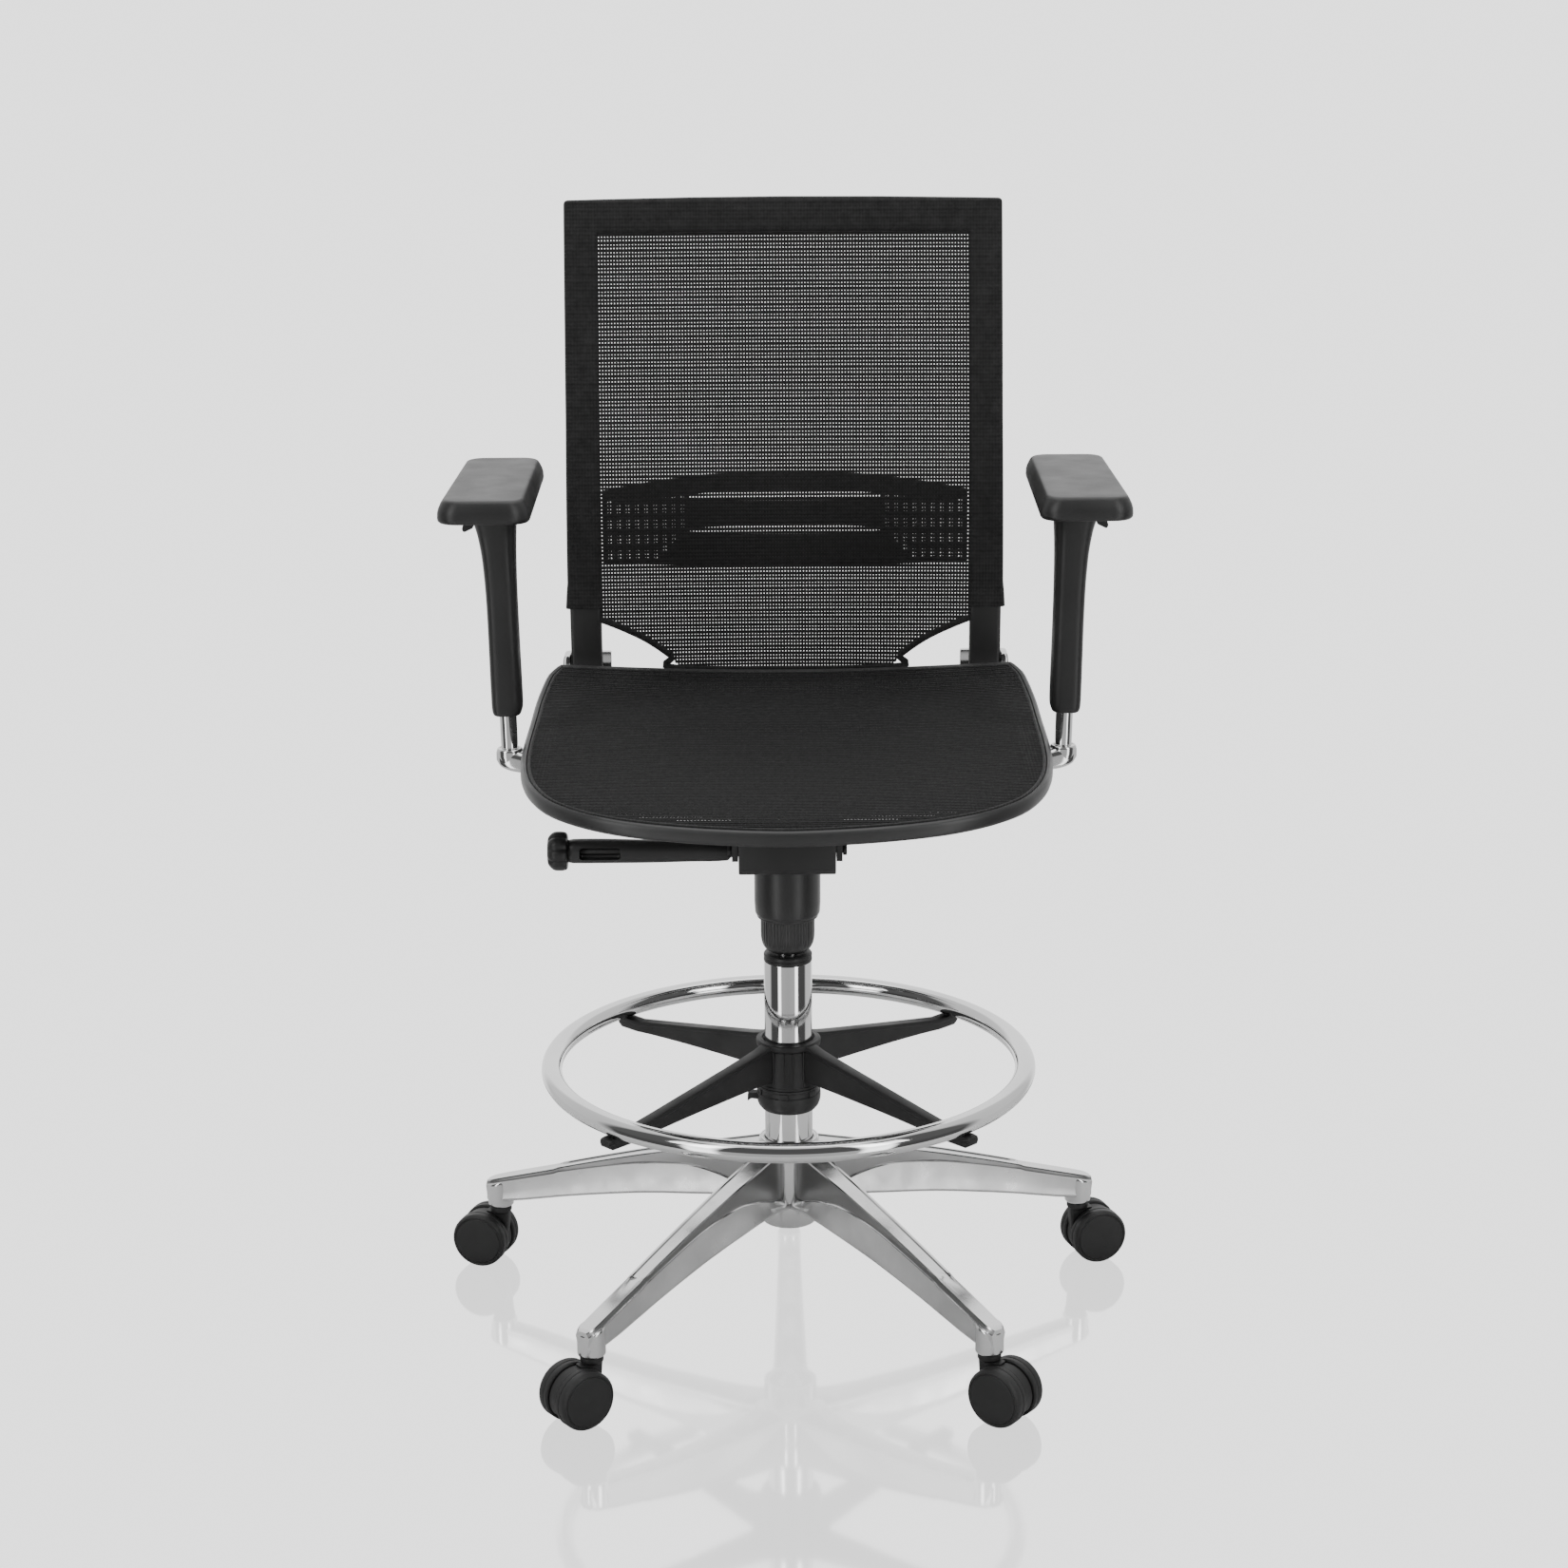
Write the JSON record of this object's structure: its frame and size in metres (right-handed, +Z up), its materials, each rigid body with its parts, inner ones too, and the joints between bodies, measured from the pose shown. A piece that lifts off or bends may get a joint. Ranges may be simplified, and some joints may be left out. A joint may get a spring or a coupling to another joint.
{
  "type": "drafting chair",
  "caption": "Height-adjustable drafting chair with mesh seat and back, adjustable armrests, foot ring and polished five-leg base on twin-wheel casters.",
  "frame": {"origin": "middle of the chair's footprint box, on the floor", "axes": "+Z up, the seated person faces -Y, +X is the seated person's left"},
  "size_m": [0.734, 0.693, 1.132],
  "materials": {
    "chrome": "bright chrome plating",
    "polished_aluminium": "polished die casting, satin on its sides",
    "steel": "bright zinc plate",
    "spring_steel": "oiled spring steel",
    "black_plastic": "fine moulded texture, satin black",
    "dark_paint": "black powder coat",
    "mesh_cloth": "open woven polyester mesh",
    "soft_pad": "soft black polyurethane skin",
    "caster_nylon": "satin black nylon"
  },
  "bodies": {
    "base": {"star_base": "polished_aluminium", "column_tube": "chrome", "column_bushing": "black_plastic", "caster_front_left_stem": "steel", "caster_side_left_stem": "steel", "caster_rear_stem": "steel", "caster_side_right_stem": "steel", "caster_front_right_stem": "steel"},
    "piston": {"piston_rod": "steel", "retaining_clip": "steel", "thrust_bearing": "steel"},
    "mechanism": {"gas_cylinder": "chrome", "mechanism_housing": "dark_paint", "cover_upper": "black_plastic", "tilt_shaft": "steel", "seat_pivot_shaft": "steel", "tilt_spring": "spring_steel"},
    "valve_pin": {"valve_pin": "steel"},
    "cover_sleeve": {"cover_lower": "black_plastic"},
    "lift_lever": {"lift_lever": "black_plastic"},
    "tension_knob": {"tension_knob": "black_plastic", "tension_rod": "black_plastic"},
    "seat": {"seat_frame": "black_plastic", "seat_mesh": "mesh_cloth", "seat_plate": "dark_paint", "arm_bracket_left": "polished_aluminium", "arm_bracket_right": "polished_aluminium", "arm_tube_left": "chrome", "arm_tube_right": "chrome"},
    "back": {"back_bracket": "polished_aluminium", "back_frame": "black_plastic", "back_mesh": "mesh_cloth"},
    "lumbar": {"lumbar_support": "black_plastic"},
    "foot_clamp": {"foot_ring_collet": "black_plastic"},
    "foot_ring": {"foot_ring": "chrome", "foot_ring_spider": "black_plastic"},
    "foot_lock": {"foot_ring_lock_collar": "black_plastic"},
    "armrest_left": {"arm_sleeve_left": "black_plastic", "arm_pad_plate_left": "dark_paint"},
    "arm_pad_left": {"arm_pad_left": "soft_pad"},
    "arm_trigger_left": {"arm_trigger_left": "black_plastic"},
    "armrest_right": {"arm_sleeve_right": "black_plastic", "arm_pad_plate_right": "dark_paint"},
    "arm_pad_right": {"arm_pad_right": "soft_pad"},
    "arm_trigger_right": {"arm_trigger_right": "black_plastic"},
    "caster_front_left": {"caster_front_left_housing": "caster_nylon"},
    "wheel_front_left_a": {"caster_front_left_wheel_a": "caster_nylon"},
    "wheel_front_left_b": {"caster_front_left_wheel_b": "caster_nylon"},
    "caster_side_left": {"caster_side_left_housing": "caster_nylon"},
    "wheel_side_left_a": {"caster_side_left_wheel_a": "caster_nylon"},
    "wheel_side_left_b": {"caster_side_left_wheel_b": "caster_nylon"},
    "caster_rear": {"caster_rear_housing": "caster_nylon"},
    "wheel_rear_a": {"caster_rear_wheel_a": "caster_nylon"},
    "wheel_rear_b": {"caster_rear_wheel_b": "caster_nylon"},
    "caster_side_right": {"caster_side_right_housing": "caster_nylon"},
    "wheel_side_right_a": {"caster_side_right_wheel_a": "caster_nylon"},
    "wheel_side_right_b": {"caster_side_right_wheel_b": "caster_nylon"},
    "caster_front_right": {"caster_front_right_housing": "caster_nylon"},
    "wheel_front_right_a": {"caster_front_right_wheel_a": "caster_nylon"},
    "wheel_front_right_b": {"caster_front_right_wheel_b": "caster_nylon"}
  },
  "joints": [
    {"name": "seat_swivel", "type": "hinge", "parent": "base", "child": "piston", "pos_m": [0, -0.033, 0.104], "axis": [0, 0, 1], "continuous": true},
    {"name": "seat_lift", "type": "slide", "parent": "piston", "child": "mechanism", "axis": [0, 0, 1], "range_m": [0, 0.2]},
    {"name": "cover_sleeve_slide", "type": "slide", "parent": "mechanism", "child": "cover_sleeve", "axis": [0, 0, 1], "range_m": [0, 0.03]},
    {"name": "lift_lever", "type": "hinge", "parent": "mechanism", "child": "lift_lever", "pos_m": [-0.046, -0.088, 0.516], "axis": [0, 1, 0], "range_deg": [0, 7], "stiffness_Nm_per_rad": 3, "springref_deg": -14.32},
    {"name": "valve_pin_press", "type": "slide", "parent": "mechanism", "child": "valve_pin", "axis": [0, 0, -1], "range_m": [0, 0.0025]},
    {"name": "tension_knob", "type": "hinge", "parent": "lift_lever", "child": "tension_knob", "pos_m": [-0.23, -0.088, 0.516], "axis": [-1, 0, 0], "continuous": true},
    {"name": "back_tilt", "type": "hinge", "parent": "mechanism", "child": "back", "pos_m": [0, 0.029, 0.54], "axis": [-1, 0, 0], "range_deg": [0, 20], "stiffness_Nm_per_rad": 90, "springref_deg": -20.05},
    {"name": "seat_tilt", "type": "hinge", "parent": "mechanism", "child": "seat", "pos_m": [0, -0.109, 0.523], "axis": [-1, 0, 0], "range_deg": [0, 8]},
    {"name": "lumbar_height", "type": "slide", "parent": "back", "child": "lumbar", "axis": [0, 0.12, 0.9928], "range_m": [-0.025, 0.025]},
    {"name": "foot_ring_height", "type": "slide", "parent": "base", "child": "foot_clamp", "axis": [0, 0, 1], "range_m": [-0.028, 0.08]},
    {"name": "foot_ring_turn", "type": "hinge", "parent": "foot_clamp", "child": "foot_ring", "pos_m": [0, -0.033, 0.26], "axis": [0, 0, 1], "continuous": true},
    {"name": "foot_ring_lock", "type": "hinge", "parent": "foot_ring", "child": "foot_lock", "pos_m": [0, -0.033, 0.235], "axis": [0, 0, 1], "range_deg": [0, 40]},
    {"name": "armrest_left_height", "type": "slide", "parent": "seat", "child": "armrest_left", "axis": [0.0202, 0, 0.9998], "range_m": [-0.025, 0.05]},
    {"name": "arm_pad_left_depth", "type": "slide", "parent": "armrest_left", "child": "arm_pad_left", "axis": [0, 1, 0], "range_m": [-0.025, 0.025]},
    {"name": "arm_trigger_left", "type": "hinge", "parent": "armrest_left", "child": "arm_trigger_left", "pos_m": [0.311, -0.013, 0.837], "axis": [0, -1, 0], "range_deg": [0, 8], "stiffness_Nm_per_rad": 0.3, "springref_deg": -22.92},
    {"name": "armrest_right_height", "type": "slide", "parent": "seat", "child": "armrest_right", "axis": [-0.0202, 0, 0.9998], "range_m": [-0.025, 0.05]},
    {"name": "arm_pad_right_depth", "type": "slide", "parent": "armrest_right", "child": "arm_pad_right", "axis": [0, 1, 0], "range_m": [-0.025, 0.025]},
    {"name": "arm_trigger_right", "type": "hinge", "parent": "armrest_right", "child": "arm_trigger_right", "pos_m": [-0.311, -0.013, 0.837], "axis": [0, 1, 0], "range_deg": [0, 8], "stiffness_Nm_per_rad": 0.3, "springref_deg": -22.92},
    {"name": "caster_front_left_swivel", "type": "hinge", "parent": "base", "child": "caster_front_left", "pos_m": [0.19426, -0.30038, 0.052], "axis": [0, 0, 1], "continuous": true},
    {"name": "wheel_front_left_a_roll", "type": "hinge", "parent": "caster_front_left", "child": "wheel_front_left_a", "pos_m": [0.20944, -0.31182, 0.03], "axis": [0.6018, 0.7986, 0], "continuous": true},
    {"name": "wheel_front_left_b_roll", "type": "hinge", "parent": "caster_front_left", "child": "wheel_front_left_b", "pos_m": [0.20944, -0.31182, 0.03], "axis": [0.6018, 0.7986, 0], "continuous": true},
    {"name": "caster_side_left_swivel", "type": "hinge", "parent": "base", "child": "caster_side_left", "pos_m": [0.31432, 0.06913, 0.052], "axis": [0, 0, 1], "continuous": true},
    {"name": "wheel_side_left_a_roll", "type": "hinge", "parent": "caster_side_left", "child": "wheel_side_left_a", "pos_m": [0.33239, 0.075, 0.03], "axis": [-0.309, 0.9511, 0], "continuous": true},
    {"name": "wheel_side_left_b_roll", "type": "hinge", "parent": "caster_side_left", "child": "wheel_side_left_b", "pos_m": [0.33239, 0.075, 0.03], "axis": [-0.309, 0.9511, 0], "continuous": true},
    {"name": "caster_rear_swivel", "type": "hinge", "parent": "base", "child": "caster_rear", "pos_m": [0, 0.2975, 0.052], "axis": [0, 0, 1], "continuous": true},
    {"name": "wheel_rear_a_roll", "type": "hinge", "parent": "caster_rear", "child": "wheel_rear_a", "pos_m": [0, 0.3165, 0.03], "axis": [-1, 0, 0], "continuous": true},
    {"name": "wheel_rear_b_roll", "type": "hinge", "parent": "caster_rear", "child": "wheel_rear_b", "pos_m": [0, 0.3165, 0.03], "axis": [-1, 0, 0], "continuous": true},
    {"name": "caster_side_right_swivel", "type": "hinge", "parent": "base", "child": "caster_side_right", "pos_m": [-0.31432, 0.06913, 0.052], "axis": [0, 0, 1], "continuous": true},
    {"name": "wheel_side_right_a_roll", "type": "hinge", "parent": "caster_side_right", "child": "wheel_side_right_a", "pos_m": [-0.33239, 0.075, 0.03], "axis": [-0.309, -0.9511, 0], "continuous": true},
    {"name": "wheel_side_right_b_roll", "type": "hinge", "parent": "caster_side_right", "child": "wheel_side_right_b", "pos_m": [-0.33239, 0.075, 0.03], "axis": [-0.309, -0.9511, 0], "continuous": true},
    {"name": "caster_front_right_swivel", "type": "hinge", "parent": "base", "child": "caster_front_right", "pos_m": [-0.19426, -0.30038, 0.052], "axis": [0, 0, 1], "continuous": true},
    {"name": "wheel_front_right_a_roll", "type": "hinge", "parent": "caster_front_right", "child": "wheel_front_right_a", "pos_m": [-0.20944, -0.31182, 0.03], "axis": [0.6018, -0.7986, 0], "continuous": true},
    {"name": "wheel_front_right_b_roll", "type": "hinge", "parent": "caster_front_right", "child": "wheel_front_right_b", "pos_m": [-0.20944, -0.31182, 0.03], "axis": [0.6018, -0.7986, 0], "continuous": true}
  ],
  "couplings": [
    {"joint": "seat_tilt", "follows": "back_tilt", "ratio": 0.4},
    {"joint": "valve_pin_press", "follows": "lift_lever", "m_per_rad": 0.02}
  ]
}
